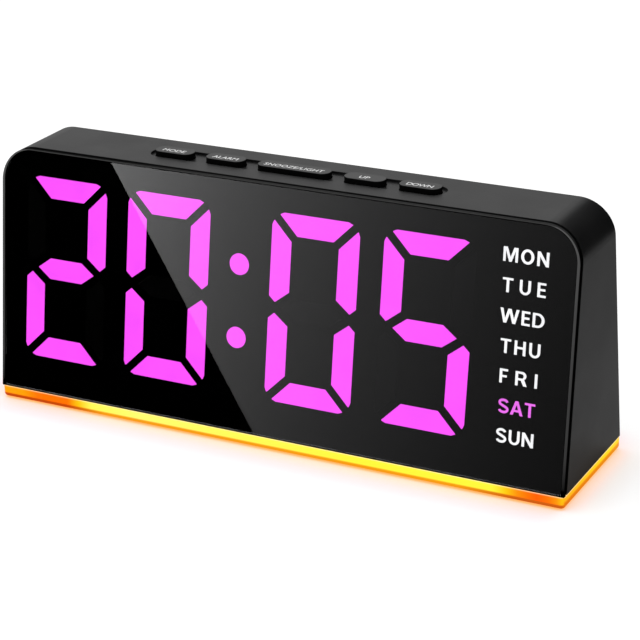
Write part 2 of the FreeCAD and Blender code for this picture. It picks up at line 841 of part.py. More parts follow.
# ---------------------------------------------------------------- battery, inlet, buzzer
def make_door():
    plate = door_plate(0, 0, door_t)
    head = back_rod(door_x + door_screw_x, door_up, door_head_r + fit_gap, -past, door_head_h)
    hole = back_rod(door_x + door_screw_x, door_up, door_screw_r + fit_gap, 0, door_t)
    notch = back_rod(door_x - door_w / 2, door_up, door_notch_r, -past, door_t / 2)
    return plate.cut(Part.makeCompound([head, hole, notch]))


def door_screw():
    one = screw(door_screw_r, door_screw_l, door_head_r, door_head_h)
    one.translate(V(door_x + door_screw_x, door_up, door_head_h))
    return laid_on_back(one)


def make_cell():
    cell = rod(door_x + cell_x, door_up, cell_top, cell_r, cell_t, V(0, 0, 1))
    rim = [e for e in cell.Edges if len(e.Vertexes) == 1]
    return laid_on_back(cell.makeFillet(cell_edge_r, rim))


def contact_minus():
    """Leaf on the cup floor with a tongue that rises to the cell."""
    x = door_x + cell_x
    leaf = box(x - leaf_l / 2, x + leaf_l / 2, door_up - contact_w / 2, door_up + contact_w / 2,
               cup_bottom - contact_t, cup_bottom)
    rise = spring_room - contact_t
    tip = x + blade_l
    low = cup_bottom - contact_t
    tongue = [V(x, 0, low), V(tip, 0, low - rise), V(tip, 0, cup_bottom - rise), V(x + blade_foot, 0, low)]
    blade = outline_prism(tongue, V(0, contact_w / 2, 0))
    blade.translate(V(0, door_up - contact_w / 4, 0))
    return laid_on_back(fuse([leaf, blade]))


def contact_plus():
    """Side leaf in its pocket beside the cell."""
    near = door_x + cell_x - cell_r - contact_out
    half = contact_w / 2
    return back_box(near, near + contact_t, door_up - half, door_up + half, cell_top, cup_bottom)


def battery_leads():
    """Two wires from the battery cup to the display board."""
    group = []
    up = door_up
    start = cup_bottom + cup_floor
    z = case_foot + up * math.cos(back_rad) + start * math.sin(-back_rad)
    for side in (-1, 1):
        x = door_x + cell_x + side * lead_spread
        y1 = y_back(z, start) - fit_gap
        y0 = y_front(z, board_back) + fit_gap
        group.append(rod(x, y0, z, lead_r, y1 - y0, V(0, 1, 0)))
    return group


def inlet_shell():
    outer = stadium(inlet_x, inlet_up, inlet_w, inlet_h, plug_room_deep, plug_room_deep + inlet_d)
    inner = stadium(inlet_x, inlet_up, inlet_w - 2 * inlet_wall, inlet_h - 2 * inlet_wall,
                    plug_room_deep, plug_room_deep + inlet_d)
    return laid_on_back(outer.cut(inner))


def inlet_core():
    far = plug_room_deep + inlet_d
    gap = inlet_wall + thread_gap
    plug = stadium(inlet_x, inlet_up, inlet_w - 2 * gap, inlet_h - 2 * gap, far - core_t, far)
    half_w = tongue_w / 2
    half_t = tongue_t / 2
    near = plug_room_deep + tongue_back
    tongue = box(inlet_x - half_w, inlet_x + half_w, inlet_up - half_t, inlet_up + half_t, near, far)
    return laid_on_back(fuse([plug, tongue]))


def inlet_board():
    top = inlet_up - inlet_h / 2
    return back_box(inlet_x - inlet_board_w / 2, inlet_x + inlet_board_w / 2, top - inlet_board_t, top,
                    case_wall + fit_gap, case_wall + fit_gap + inlet_board_d)


def make_buzzer():
    can = back_rod(buzzer_x, buzzer_up, buzzer_r, case_wall + fit_gap, case_wall + fit_gap + buzzer_h)
    hole = back_rod(buzzer_x, buzzer_up, buzzer_r / 5, case_wall, case_wall + fit_gap + buzzer_h / 3)
    return can.cut(hole)


# ---------------------------------------------------------------- base
def footprint(inset, z0, z1, r):
    return pad(0, 0, case_w - 2 * inset, base_d - 2 * inset, z0, z1, r)


def make_light_ring():
    low = foot_gap
    ring = footprint(0, low, case_foot, ring_corner_r)
    under = [e for e in edges_where(ring, lambda p: abs(p.z - low) < 1e-6)]
    ring = ring.makeFillet(ring_edge_r, under)
    ring = ring.cut(footprint(ring_w, low - past, case_foot + past, ring_corner_r))
    return ring.cut(footprint(ring_w - ring_step, low - past, low + base_t + thread_gap, ring_corner_r))


def base_screw_spots():
    return corners(case_w / 2 - base_screw_side, base_d / 2 - base_screw_front)


def foot_spots():
    return corners(case_w / 2 - foot_side, base_d / 2 - foot_front)


def corners(x, y):
    return [(-x, -y), (-x, y), (x, -y), (x, y)]


def make_base_plate():
    plate = footprint(ring_w - ring_step + fit_gap, foot_gap, foot_gap + base_t, ring_corner_r)
    bosses = [rod(x, y, foot_gap, base_boss_r, ring_h, V(0, 0, 1)) for x, y in base_screw_spots()]
    plate = fuse([plate] + bosses)
    cuts = [rod(x, y, 0, foot_r + fit_gap, foot_gap + foot_sunk, V(0, 0, 1)) for x, y in foot_spots()]
    for x, y in base_screw_spots():
        cuts.append(rod(x, y, 0, base_head_r + fit_gap, base_screw_from, V(0, 0, 1)))
        cuts.append(rod(x, y, 0, base_screw_r + fit_gap, case_foot, V(0, 0, 1)))
    return plate.cut(Part.makeCompound(cuts))


def base_screws():
    group = []
    for x, y in base_screw_spots():
        one = screw(base_screw_r, base_screw_l, base_head_r, base_head_h)
        one.translate(V(x, y, base_screw_from))
        group.append(one)
    return group


def rubber_feet():
    group = []
    for x, y in foot_spots():
        foot = rod(x, y, 0, foot_r, foot_gap + foot_sunk, V(0, 0, 1))
        rim = [e for e in foot.Edges if len(e.Vertexes) == 1 and e.Vertexes[0].Z < foot_gap / 2]
        group.append(foot.makeFillet(foot_edge_r, rim))
    return group


def light_frame(z0, z1, clear):
    """Rectangular band just inside the light ring, clear of the screw bosses."""
    band = footprint(ring_w + clear, z0, z1, ring_corner_r)
    band = band.cut(footprint(ring_w + clear + light_board_w, z0, z1, ring_corner_r))
    for x, y in base_screw_spots():
        band = band.cut(rod(x, y, z0 - past, base_boss_r + fit_gap, z1 - z0 + 2 * past, V(0, 0, 1)))
    return band


def light_leds():
    """Lamps along the band, facing out into the ring."""
    low = foot_gap + base_t + light_board_t
    inset = ring_w + 2 * fit_gap
    half = light_led_l / 2
    group = []
    edge_y = base_d / 2 - inset
    edge_x = case_w / 2 - inset
    count = int(case_w / light_led_pitch)
    for i in range(count):
        x = (i - (count - 1) / 2) * light_led_pitch
        for s in (-1, 1):
            y0 = min(s * edge_y, s * (edge_y - light_led_d))
            group.append(box(x - half, x + half, y0, y0 + light_led_d, low, low + light_led_h))
    for s in (-1, 1):
        x0 = min(s * edge_x, s * (edge_x - light_led_d))
        group.append(box(x0, x0 + light_led_d, -half, half, low, low + light_led_h))
    return group


# ---------------------------------------------------------------- parts on the display board
def board_box(at, length, width, height):
    """Block on the back of the display board."""
    x, s = at
    block = box(x - length / 2, x + length / 2, board_back, board_back + height, s - width / 2, s + width / 2)
    return on_front(block)


def board_point(at, depth):
    """(y, z) just clear of a spot behind the display board."""
    depth = depth + fit_gap
    z = case_foot + at[1] * math.cos(front_rad) - depth * math.sin(front_rad)
    return y_front(z, depth), z


def make_crystal():
    x, s = crystal_at
    can = rod(x, board_back + crystal_r, s - crystal_l / 2, crystal_r, crystal_l, V(0, 0, 1))
    return on_front(can)


def capacitors():
    return [on_front(rod(x, board_back, s, can_r, can_h, V(0, 1, 0))) for x, s in can_at]


def button_cable():
    y, z = board_point(button_socket_at, board_back + socket_h)
    top = button_board_top - button_board_t
    drop = y + cable_out + cable_turn
    path = [(y, z), (y + cable_out, z), (drop, z + cable_turn), (drop, top)]
    return strap(path, button_socket_at[0] - cable_w / 2, cable_w, cable_t)


def light_cable_y():
    return board_point(light_socket_at, board_back + socket_h)[0] + 2 * (cable_out + cable_turn)


def light_cable():
    y, z = board_point(light_socket_at, board_back + socket_h)
    low = foot_gap + base_t + light_board_t + light_led_h
    drop = light_cable_y()
    path = [(y, z), (y + cable_out, z), (drop, z - cable_turn), (drop, low)]
    return strap(path, light_socket_at[0] - cable_w / 2, cable_w, cable_t)


def power_cable():
    y, z = board_point(power_socket_at, board_back + socket_h)
    depth = case_wall + fit_gap + inlet_board_d
    z1 = case_foot + inlet_up - inlet_h / 2
    y1 = y_back(z1, depth)
    path = [(y, z), (y + cable_turn, z), (y1 - cable_turn, z1), (y1, z1)]
    return strap(path, power_socket_at[0] - cable_w / 2, cable_w, cable_t)


# ---------------------------------------------------------------- build
save("rear_housing", make_housing())
save("front_frame", make_front_frame())
save("front_lens", make_lens())
save("display_film", make_film())
save("light_mask", make_mask())
save("display_board", make_display_board())
save("display_board_screws", display_screws())
save("display_leds", display_leds())
bar_far = film_front + bar_t
for d in range(len(digit_left)):
    save("digit_%d_lit_bars" % (d + 1), [on_front(b) for b in digit_bars(d, True, film_front, bar_far, 0)])
    save("digit_%d_dark_bars" % (d + 1), [on_front(b) for b in digit_bars(d, False, film_front, bar_far, 0)])
save("colon_bars", [on_front(b) for b in colon_bars(film_front, bar_far, 0)])
day_rows = [on_front(day_bar(row, mask_front, mask_front + bar_t, 0)) for row in range(day_count)]
save("lit_day_bar", day_rows[day_lit])
save("other_day_bars", day_rows[:day_lit] + day_rows[day_lit + 1:])

for i in range(len(button_name)):
    save(button_name[i] + "_button", make_cap(i))
    save(button_name[i] + "_switch_plunger", make_plunger(i))
save("switch_bodies", switch_bodies())
save("switch_lids", switch_lids())
save("button_board", make_button_board())
save("button_board_screws", button_board_screws())

save("battery_door", make_door())
save("battery_door_screw", door_screw())
save("coin_cell", make_cell())
save("contact_minus", contact_minus())
save("contact_plus", contact_plus())
save("battery_leads", battery_leads())
save("power_inlet_shell", inlet_shell())
save("power_inlet_core", inlet_core())
save("power_inlet_board", inlet_board())
save("buzzer", make_buzzer())

save("light_ring", make_light_ring())
save("base_plate", make_base_plate())
save("base_screws", base_screws())
save("rubber_feet", rubber_feet())
board_low = foot_gap + base_t
save("light_board", light_frame(board_low, board_low + light_board_t, fit_gap))
save("light_leds", light_leds())
save("light_reflector", light_frame(case_foot - reflector_t, case_foot, fit_gap))

save("control_chip", board_box(chip_at, chip_w, chip_w, chip_h))
save("driver_chips", [board_box(at, driver_l, driver_w, driver_h) for at in driver_at])
save("clock_crystal", make_crystal())
save("capacitors", capacitors())
sockets = [button_socket_at, light_socket_at, power_socket_at]
save("board_sockets", [board_box(at, socket_l, socket_w, socket_h) for at in sockets])
save("button_cable", button_cable())
save("light_cable", light_cable())
save("power_cable", power_cable())
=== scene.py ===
import math

import bpy
from mathutils import Matrix, Vector


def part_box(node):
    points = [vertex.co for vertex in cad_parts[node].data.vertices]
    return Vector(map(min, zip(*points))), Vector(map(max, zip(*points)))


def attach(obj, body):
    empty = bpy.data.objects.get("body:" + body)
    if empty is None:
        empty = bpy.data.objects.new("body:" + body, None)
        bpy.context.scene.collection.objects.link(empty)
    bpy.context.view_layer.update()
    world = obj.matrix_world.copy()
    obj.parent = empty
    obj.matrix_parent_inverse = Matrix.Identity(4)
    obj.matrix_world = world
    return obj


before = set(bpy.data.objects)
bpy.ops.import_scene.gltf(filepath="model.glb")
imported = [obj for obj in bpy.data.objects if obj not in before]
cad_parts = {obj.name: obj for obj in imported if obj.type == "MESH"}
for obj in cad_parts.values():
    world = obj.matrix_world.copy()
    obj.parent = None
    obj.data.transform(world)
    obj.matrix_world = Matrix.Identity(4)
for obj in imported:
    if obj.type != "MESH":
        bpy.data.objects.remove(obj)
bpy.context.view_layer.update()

MM = 0.001

# ---------------------------------------------------------------- the clock's own sizes
FRONT_LEAN = math.radians(8.17)
CASE_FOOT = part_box("light_ring")[1].z
FRONT_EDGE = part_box("front_frame")[0].y
UP_FRONT = Vector((0, math.sin(FRONT_LEAN), math.cos(FRONT_LEAN)))
OUT_FRONT = Vector((0, -math.cos(FRONT_LEAN), math.sin(FRONT_LEAN)))
FRONT_FOOT = Vector((0, FRONT_EDGE, CASE_FOOT))

DAY_NAMES = ["SUN", "SAT", "FRI", "THU", "WED", "TUE", "MON"]
DAY_WIDTHS = [9.85, 9.65, 9.85, 10.35, 11.5, 11.2, 11.75]     # mm, lowest name first
DAY_LIT = 1
DAY_TALL = 3.58 * MM
DAY_LIFT = -0.13 * MM       # the printed names sit a little low on their light bars
DAY_STEM = 0.19             # shares of the letter height
DAY_BAR = 0.15
INK = 0.04 * MM
INK_PROUD = 0.003 * MM
DAY_PROUD = 0.005 * MM
LEGENDS = {
    "mode": ("MODE", 6.6),
    "alarm": ("ALARM", 7.4),
    "snooze": ("SNOOZE/LIGHT", 17.0),
    "up": ("UP", 2.8),
    "down": ("DOWN", 7.2),
}
LEGEND_TALL = 1.6 * MM
LEGEND_BOLD = 0.015         # share of the letter height added all round
LEGEND_AHEAD = 0.4 * MM     # the legends sit this far before the middle of their caps
WELD = 0.002 * MM           # points closer than this are one

# ---------------------------------------------------------------- camera
CAMERA_PLACE = (0.25448, -0.46088, 0.24640)
CAMERA_TURN = (67.5604, 1.5982, 27.6082)
CAMERA_LENS = 122.46

# ---------------------------------------------------------------- finishes and stage
MAGENTA = (1.0, 0.088, 1.0)
DAY_MAGENTA = (0.88, 0.165, 0.88)
WHITE = (1.0, 1.0, 1.0)
LENS_TINT = (0.42, 0.42, 0.43)
SEEN_THROUGH = 0.42 * 0.92     # share of the light that the lens lets out
LENS_WORN = 0.985              # share of its tint where it is wiped dull

FRAME_FRONT_PAINTED_LIGHT = 0.090            # painted lit and shaded greys of the front frame, by which way it faces
FRAME_TOP_PAINTED_LIGHT = 0.036
FRAME_SIDE_PAINTED_SHADE = 0.002
FRAME_PAINTED_REACH = 0.65 * MM        # its lip carries painted light this far behind the front face
FRAME_PAINTED_SHADE = 0.02            # painted shade: share of its grey in its recesses and on its sill
LIP_PAINTED_LIGHT_GAINS = [                  # painted light: the lip pales between two heights above the case foot
    (1.5 * MM, 2.2 * MM, 0.13),
    (1.5 * MM, 10 * MM, 0.59),
    (10 * MM, 40 * MM, 0.22),
]
# painted light: the lip's gain from this height up to its head
LIP_HEAD_PAINTED_LIGHT = (40 * MM, 0.6)
LIP_TOP_PAINTED_SHADE = 0.45                 # painted shade: share of its grey over the lens
BUTTON_TOP_PAINTED_LIGHT = 0.097             # painted light on the tops of the button caps, and painted shade on their sides
BUTTON_SIDE_PAINTED_SHADE = 0.0012

FLOOR_PALE = 0.45
FLOOR_DULL = 0.25              # the same floor in sheen
FLOOR_PAINTED_LIFT = 1.9               # and how much brighter it is there close beside the case, as painted light
PAINTED_LIFT_SPAN = (0.085, 0.115)
FLOOR_GLOW = 0.71
FLOOR_IN_GLOSS = 0.05
# reach of the painted foot shadow and painted glow on the floor
FOOT_SHADOW = 0.012
SIDE_SPAN = (0.080, 0.088)     # the floor's painted glow and shadow tint turns from the front's to the side's here
WORLD_DIFFUSE = 0.55
WORLD_IN_GLOSS = 0.54

CARD_NEAR_LEFT = (-0.95, -1.15)
CARD_FAR_RIGHT = (0.35, -0.022)
CARD_LIFT = 0.15 * MM          # it lies just above the floor
CARD_START = 0.044             # brightest at this x left of the middle
CARD_FADE = 0.0508
CARD_TOP = 0.063
CARD_RISE = 0.120
CARD_FOOT = -0.0035            # foot of the slanting edge
CARD_SLANT = -45.0 / 66.5
CARD_LEVEL = 2.15
DARK_CARD_SIZE = (0.325, 0.26)
DARK_CARD_PLACE = (0.1975, 0.245, 0.13)

# glow of the light guide, along its front from left to right
RING_GOLD = (1.0, 0.34, 0.002)
RING_ORANGE = (1.0, 0.15, 0.0)
RING_LEMON = (1.0, 0.95, 0.10)
RING_PALE = (1.0, 0.97, 0.17)
RING_YELLOW = (1.0, 0.93, 0.045)
RING_AMBER = (1.0, 0.58, 0.004)
RING_DUSK = (1.0, 0.27, 0.002)
RING_EMBER = (1.0, 0.09, 0.0)
# a painted highlight along the top edge of the light guide
RING_PAINTED_HIGHLIGHT = (1.0, 0.94, 0.55)
# and along its lower edge, darker there as painted shade
LOW_SHADED_RED = (0.42, 0.035, 0.0)
LOW_SHADED_GOLD = (0.78, 0.30, 0.004)
LOW_SHADED_COPPER = (0.48, 0.085, 0.004)
# along its sides from front to back, and along their lower edge, darker there as painted shade
SIDE_COLOURS = [(0.0, (1.0, 0.43, 0.005)), (0.8, (1.0, 0.72, 0.006)), (1.0, (1.0, 0.62, 0.005))]
LOW_SIDE_SHADED_COLOURS = [(0.0, (0.68, 0.16, 0.0)), (1.0, (0.76, 0.28, 0.0))]
RING_BODY = (0.3, 0.06, 0.0)

# painted glow and shadow: the floor's tint by how open it is, from the ring's foot outwards
FLOOR_PAINTED_GLOW_BEFORE = [
    (0.40, (1.2, 0.56, 0.17)), (0.55, (1.15, 0.62, 0.43)), (0.70, (1.05, 0.71, 0.67)),
    (0.85, (1.0, 0.80, 0.84)), (0.94, (1.0, 0.91, 0.94)), (1.0, WHITE),
]
FLOOR_PAINTED_GLOW_BESIDE = [
    (0.40, (1.0, 0.80, 0.68)), (0.55, (1.0, 0.87, 0.80)), (0.80, (0.96, 0.92, 0.90)), (1.0, WHITE),
]


# ---------------------------------------------------------------- material helpers
def new_material(name):
    mat = bpy.data.materials.new(name)
    mat.use_nodes = True
    tree = mat.node_tree
    return mat, tree, tree.nodes["Principled BSDF"]


def node(tree, kind, **values):
    made = tree.nodes.new(kind)
    for key, value in values.items():
        setattr(made, key, value)
    return made


def put(tree, socket, value):
    """Link a socket, or set its own number or colour."""
    if isinstance(value, bpy.types.NodeSocket):
        tree.links.new(value, socket)
    elif isinstance(value, (tuple, list)) and len(value) == 3 and len(socket.default_value) == 4:
        socket.default_value = (*value, 1.0)
    else:
        socket.default_value = value


def math_node(tree, operation, a, b=0.0):
    made = node(tree, "ShaderNodeMath", operation=operation)
    put(tree, made.inputs[0], a)
    put(tree, made.inputs[1], b)
    return made.outputs[0]


def noise(tree, vector, scale, detail=2.0, rough=0.5):
    made = node(tree, "ShaderNodeTexNoise")
    put(tree, made.inputs["Vector"], vector)
    put(tree, made.inputs["Scale"], scale)
    put(tree, made.inputs["Detail"], detail)
    put(tree, made.inputs["Roughness"], rough)
    return made.outputs["Fac"]


def spread(tree, value, from_low, from_high, low, high):
    made = node(tree, "ShaderNodeMapRange")
    for i, v in enumerate((value, from_low, from_high, low, high)):
        put(tree, made.inputs[i], v)
    return made.outputs[0]


def mix_colour(tree, share, a, b):
    made = node(tree, "ShaderNodeMix", data_type="RGBA")
    put(tree, made.inputs["Factor"], share)
    put(tree, made.inputs[6], a)
    put(tree, made.inputs[7], b)
    return made.outputs[2]


def share_of(tree, share, low, high):
    """A number between two others, by a share from 0 to 1."""
    made = node(tree, "ShaderNodeMix", data_type="FLOAT")
    for socket, value in zip((made.inputs[0], made.inputs[2], made.inputs[3]), (share, low, high)):
        put(tree, socket, value)
    return made.outputs[0]


def ramp(tree, value, stops):
    """A colour by a value, from (value, colour) stops in rising order."""
    made = node(tree, "ShaderNodeValToRGB")
    put(tree, made.inputs[0], value)
    points = made.color_ramp.elements
    while len(points) < len(stops):
        points.new(0.5)
    for point, (at, colour) in zip(points, stops):
        point.position = at
        point.color = (*colour, 1.0)
    return made.outputs[0]


def places(tree):
    """Object coordinates."""
    return node(tree, "ShaderNodeTexCoord").outputs["Object"]


def axes_of(tree, vector):
    """The X, Y and Z of a vector as sockets."""
    made = node(tree, "ShaderNodeSeparateXYZ")
    put(tree, made.inputs[0], vector)
    return made.outputs


def reach_of(tree, vector, way):
    """How far a vector goes along one way of the object."""
    made = node(tree, "ShaderNodeVectorMath", operation="DOT_PRODUCT")
    put(tree, made.inputs[0], vector)
    made.inputs[1].default_value = way
    return made.outputs["Value"]


def facing(tree, way, low, high):
    """Share from 0 to 1 by how far the surface faces one way of the object."""
    normal = node(tree, "ShaderNodeTexCoord").outputs["Normal"]
    return spread(tree, reach_of(tree, normal, way), low, high, 0.0, 1.0)


def use_group(tree, group, **values):
    made = node(tree, "ShaderNodeGroup", node_tree=group)
    for key, value in values.items():
        put(tree, made.inputs[key], value)
    return made.outputs


def bump(tree, shader, height, depth):
    made = node(tree, "ShaderNodeBump")
    put(tree, made.inputs["Height"], height)
    put(tree, made.inputs["Distance"], depth)
    put(tree, made.inputs["Strength"], 1.0)
    tree.links.new(made.outputs["Normal"], shader.inputs["Normal"])


def new_group(name, inputs, outputs):
    group = bpy.data.node_groups.new(name, "ShaderNodeTree")
    for label, kind in inputs:
        group.interface.new_socket(label, in_out="INPUT", socket_type=kind)
    for label, kind in outputs:
        group.interface.new_socket(label, in_out="OUTPUT", socket_type=kind)
    return group, node(group, "NodeGroupInput").outputs, node(group, "NodeGroupOutput").inputs


def make_grain_group():
    """Spark-eroded mould texture: a fine pebble height and a slow patchiness."""
    group, given, out = new_group(
        "moulded_grain",
        [("Place", "NodeSocketVector"), ("Fine", "NodeSocketFloat"), ("Slow", "NodeSocketFloat")],
        [("Height", "NodeSocketFloat"), ("Patch", "NodeSocketFloat")],
    )
    pebble = node(group, "ShaderNodeTexVoronoi", feature="SMOOTH_F1")
    put(group, pebble.inputs["Vector"], given["Place"])
    put(group, pebble.inputs["Scale"], given["Fine"])
    fine = noise(group, given["Place"], given["Fine"], 3.0, 0.6)
    put(group, out["Height"], math_node(group, "ADD", pebble.outputs["Distance"], fine))
    put(group, out["Patch"], noise(group, given["Place"], given["Slow"], 3.0, 0.55))
    return group


def make_marks_group():
    """Thin smears left by handling, as a mask from 0 to 1."""
    group, given, out = new_group(
        "handling_marks",
        [("Place", "NodeSocketVector"), ("Size", "NodeSocketFloat")],
        [("Mark", "NodeSocketFloat")],
    )
    smear = noise(group, given["Place"], given["Size"], 5.0, 0.65)
    put(group, out["Mark"], spread(group, smear, 0.45, 0.75, 0.0, 1.0))
    return group


GRAIN = make_grain_group()
MARKS = make_marks_group()


# ---------------------------------------------------------------- finishes
def moulded_plastic(name, dark, light, rough, fine, depth, specular=0.5):
    """Black or coloured moulding: grain in the height, patchy sheen, faint handling marks."""
    mat, tree, shader = new_material(name)
    where = places(tree)
    grain = use_group(tree, GRAIN, Place=where, Fine=fine, Slow=90.0)
    marks = use_group(tree, MARKS, Place=where, Size=45.0)
    put(tree, shader.inputs["Base Color"], mix_colour(tree, grain["Patch"], dark, light))
    sheen = spread(tree, grain["Patch"], 0.3, 0.7, rough - 0.04, rough + 0.04)
    rubbed = math_node(tree, "MULTIPLY", marks["Mark"], 0.05)
    put(tree, shader.inputs["Roughness"], math_node(tree, "SUBTRACT", sheen, rubbed))
    shader.inputs["Specular IOR Level"].default_value = specular
    bump(tree, shader, grain["Height"], depth)
    return mat


def satin(tree, shader, shade, fine, depth, specular):
    """Finish a satin moulding whose shade of grey is given by a socket."""
    grain = use_group(tree, GRAIN, Place=places(tree), Fine=fine, Slow=90.0)
    patch = spread(tree, grain["Patch"], 0.3, 0.7, 0.93, 1.07)
    put(tree, shader.inputs["Base Color"], math_node(tree, "MULTIPLY", shade, patch))
    put(tree, shader.inputs["Roughness"], spread(tree, grain["Patch"], 0.3, 0.7, 0.41, 0.49))
    shader.inputs["Specular IOR Level"].default_value = specular
    bump(tree, shader, grain["Height"], depth)


def button_painted_light():
    """Button caps: painted light makes them paler on top, and painted shade makes them nearly black on their
    sides.
    """
    mat, tree, shader = new_material("button_painted_light")
    # painted light and shade: the grey follows which way the cap's surface faces
    shade = share_of(tree, facing(tree, (0, 0, 1), 0.55, 0.95), BUTTON_SIDE_PAINTED_SHADE, BUTTON_TOP_PAINTED_LIGHT)
    satin(tree, shader, shade, 3000.0, 0.006 * MM, 0.06)
    return mat


def frame_painted_light():
    """Front frame: painted light makes its lip paler with height, and painted shade keeps its sill and its
    recesses black.
    """
    mat, tree, shader = new_material("frame_painted_light")
    where = places(tree)
    axes = axes_of(tree, where)
    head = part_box("front_frame")[1].z
    # painted light: the lip's grey rises with height
    rise_start, rise = LIP_HEAD_PAINTED_LIGHT
    level = spread(tree, axes["Z"], CASE_FOOT + rise_start, head, 0.0, rise)
    for low, high, gain in LIP_PAINTED_LIGHT_GAINS:
        paler = spread(tree, axes["Z"], CASE_FOOT + low, CASE_FOOT + high, 0.0, gain)
        level = math_node(tree, "ADD", level, paler)
    painted_shade_over_lens = spread(tree, axes["Z"], head - 0.6 * MM, head - 0.3 * MM, 1.0, LIP_TOP_PAINTED_SHADE)
    front = math_node(tree, "MULTIPLY", math_node(tree, "MULTIPLY", level, painted_shade_over_lens), FRAME_FRONT_PAINTED_LIGHT)
    # painted light on its top faces, darker towards the left as painted shade, and painted shade on its sill
    top = math_node(tree, "MULTIPLY", spread(tree, axes["X"], -45 * MM, -15 * MM, 0.25, 1.0), FRAME_TOP_PAINTED_LIGHT)
    painted_sill_shade = spread(tree, axes["Z"], CASE_FOOT + 2 * MM, CASE_FOOT + 4 * MM, FRAME_PAINTED_SHADE, 1.0)
    top = math_node(tree, "MULTIPLY", top, painted_sill_shade)
    # painted lit and shaded greys by which way each face turns
    shade = share_of(tree, facing(tree, UP_FRONT, 0.3, 0.9), FRAME_SIDE_PAINTED_SHADE, top)
    shade = share_of(tree, facing(tree, OUT_FRONT, 0.75, 0.97), shade, front)
    # painted shade in the recesses behind the lip
    lip_end = FRONT_FOOT.dot(OUT_FRONT) - FRAME_PAINTED_REACH
    painted_recess_shade = spread(tree, reach_of(tree, where, OUT_FRONT), lip_end - 0.1 * MM, lip_end, FRAME_PAINTED_SHADE, 1.0)
    satin(tree, shader, math_node(tree, "MULTIPLY", shade, painted_recess_shade), 3200.0, 0.005 * MM, 0.0)
    return mat


def metal(name, dark, light, rough, streak):
    """Bare metal with fine drawn lines, stretched along one axis by its streak."""
    mat, tree, shader = new_material(name)
    where = places(tree)
    stretch = node(tree, "ShaderNodeMapping")
    put(tree, stretch.inputs["Vector"], where)
    stretch.inputs["Scale"].default_value = streak
    lines = noise(tree, stretch.outputs["Vector"], 900.0, 3.0)
    shader.inputs["Metallic"].default_value = 1.0
    put(tree, shader.inputs["Base Color"], mix_colour(tree, lines, dark, light))
    put(tree, shader.inputs["Roughness"], spread(tree, lines, 0.2, 0.8, rough - 0.08, rough + 0.08))
    bump(tree, shader, lines, 0.01 * MM)
    return mat


def smoked_lens():
    """Smoked clear sheet with a polished face and a few faint wipe marks."""
    mat, tree, shader = new_material("smoked_lens")
    marks = use_group(tree, MARKS, Place=places(tree), Size=30.0)
    worn = tuple(c * LENS_WORN for c in LENS_TINT)
    put(tree, shader.inputs["Base Color"], mix_colour(tree, marks["Mark"], LENS_TINT, worn))
    shader.inputs["Transmission Weight"].default_value = 1.0
    shader.inputs["IOR"].default_value = 1.49
    shader.inputs["Roughness"].default_value = 0.0
    return mat


def glowing(name, colour, strength, slow):
    """Light bar or lit letter: nearly even, a little brighter over its lamps."""
    mat, tree, shader = new_material(name)
    cloud = noise(tree, places(tree), slow, 1.0)
    dim = tuple(c * 0.93 for c in colour)
    put(tree, shader.inputs["Base Color"], tuple(c * 0.02 for c in colour))
    lamp = spread(tree, cloud, 0.35, 0.6, 0.0, 1.0)
    put(tree, shader.inputs["Emission Color"], mix_colour(tree, lamp, dim, colour))
    shader.inputs["Emission Strength"].default_value = strength
    put(tree, shader.inputs["Roughness"], spread(tree, cloud, 0.3, 0.7, 0.3, 0.4))
    return mat


